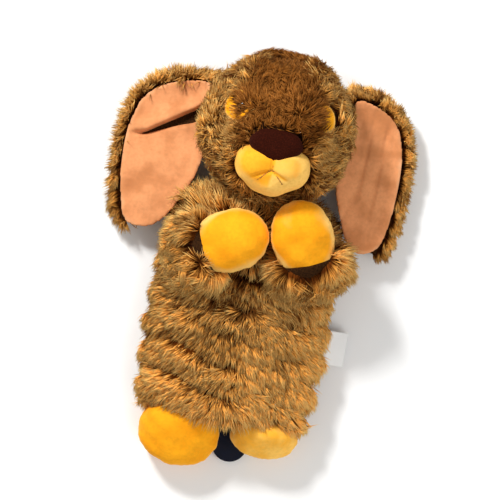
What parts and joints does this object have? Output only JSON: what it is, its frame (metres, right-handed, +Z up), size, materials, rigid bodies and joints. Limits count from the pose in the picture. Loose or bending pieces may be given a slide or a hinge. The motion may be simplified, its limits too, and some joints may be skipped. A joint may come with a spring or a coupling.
{
  "type": "hand puppet",
  "caption": "Long-eared plush glove puppet lying on its back, with a stuffed head on a finger tube, folded arms, drooping ears, padded feet and a side label.",
  "frame": {"origin": "middle of the puppet's footprint, on the surface that it lies on", "axes": "+Y runs from the feet to the crown, +X to the puppet's own left, +Z up off the surface, out of its face and belly"},
  "size_m": [0.208, 0.3022, 0.0969],
  "materials": {
    "fur_brown": "long-pile fur, dark brown at the root and caramel at the tip",
    "fur_dark": "shorter, darker brown long-pile fur",
    "velour_gold": "short-pile golden velour",
    "velour_cream": "short-pile pale gold velour",
    "velour_pink": "short-pile salmon velour",
    "velour_nose": "short-pile dark brown velvet",
    "cotton_navy": "plain dark navy cotton",
    "polyester_fill": "polyester fibre filling",
    "card_tube": "rolled brown card",
    "eye_black": "glossy black safety eye",
    "washer_white": "plain white plastic",
    "thread_brown": "brown embroidery thread",
    "satin_white": "blank white satin ribbon"
  },
  "bodies": {
    "torso": {"torso_front": "fur_brown", "torso_back": "fur_brown", "glove_lining": "cotton_navy", "hem_facing": "cotton_navy", "hem_flap": "cotton_navy"},
    "neck": {"neck_band": "fur_dark"},
    "head": {"head_gusset": "fur_dark", "head_cheek_left": "fur_brown", "head_cheek_right": "fur_brown", "head_back": "fur_brown", "head_stuffing": "polyester_fill", "finger_tube": "card_tube", "muzzle_left": "velour_gold", "muzzle_right": "velour_gold", "muzzle_chin": "velour_cream", "nose_pad": "velour_nose", "mouth_stitching": "thread_brown", "eye_patch_left": "velour_gold", "eye_patch_right": "velour_gold", "eye_left": "eye_black", "eye_right": "eye_black", "eye_washer_left": "washer_white", "eye_washer_right": "washer_white"},
    "left_ear": {"ear_fur_left": "fur_brown", "ear_lining_left": "velour_pink"},
    "right_ear": {"ear_fur_right": "fur_brown", "ear_lining_right": "velour_pink"},
    "left_arm": {"sleeve_left": "fur_brown", "paw_palm_left": "velour_gold", "paw_back_left": "velour_gold", "paw_stuffing_left": "polyester_fill"},
    "right_arm": {"sleeve_right": "fur_brown", "paw_palm_right": "velour_gold", "paw_back_right": "velour_gold", "paw_stuffing_right": "polyester_fill"},
    "left_foot": {"foot_upper_left": "velour_gold", "foot_sole_left": "velour_cream", "foot_stuffing_left": "polyester_fill"},
    "right_foot": {"foot_upper_right": "velour_gold", "foot_sole_right": "velour_cream", "foot_stuffing_right": "polyester_fill"},
    "label": {"care_label": "satin_white"}
  },
  "joints": [
    {"name": "head_turn", "type": "hinge", "parent": "torso", "child": "neck", "pos_m": [0.00574, 0.05225, 0.02], "axis": [0, 1, 0], "range_deg": [-20, 20]},
    {"name": "head_nod", "type": "hinge", "parent": "neck", "child": "head", "pos_m": [0.00574, 0.05225, 0.02], "axis": [1, 0, 0], "range_deg": [-10, 8]},
    {"name": "left_ear_flop", "type": "hinge", "parent": "head", "child": "left_ear", "pos_m": [0.05724, 0.12425, 0.022], "axis": [0, -1, 0], "range_deg": [0, 90]},
    {"name": "right_ear_flop", "type": "hinge", "parent": "head", "child": "right_ear", "pos_m": [-0.04576, 0.11625, 0.022], "axis": [0, 1, 0], "range_deg": [0, 90]},
    {"name": "left_arm_swing", "type": "hinge", "parent": "torso", "child": "left_arm", "pos_m": [0.06244, 0.00025, 0.018], "axis": [0, 1, 0], "range_deg": [0, 90]},
    {"name": "right_arm_swing", "type": "hinge", "parent": "torso", "child": "right_arm", "pos_m": [-0.06096, 0.00025, 0.018], "axis": [0, -1, 0], "range_deg": [0, 90]},
    {"name": "left_foot_swing", "type": "hinge", "parent": "torso", "child": "left_foot", "pos_m": [0.03474, -0.1085, 0.036], "axis": [-1, 0, 0], "range_deg": [0, 80]},
    {"name": "right_foot_swing", "type": "hinge", "parent": "torso", "child": "right_foot", "pos_m": [-0.02676, -0.1085, 0.036], "axis": [-1, 0, 0], "range_deg": [0, 80]},
    {"name": "label_flap", "type": "hinge", "parent": "torso", "child": "label", "pos_m": [0.06304, -0.04875, 0.014], "axis": [0, -1, 0], "range_deg": [0, 110]}
  ]
}
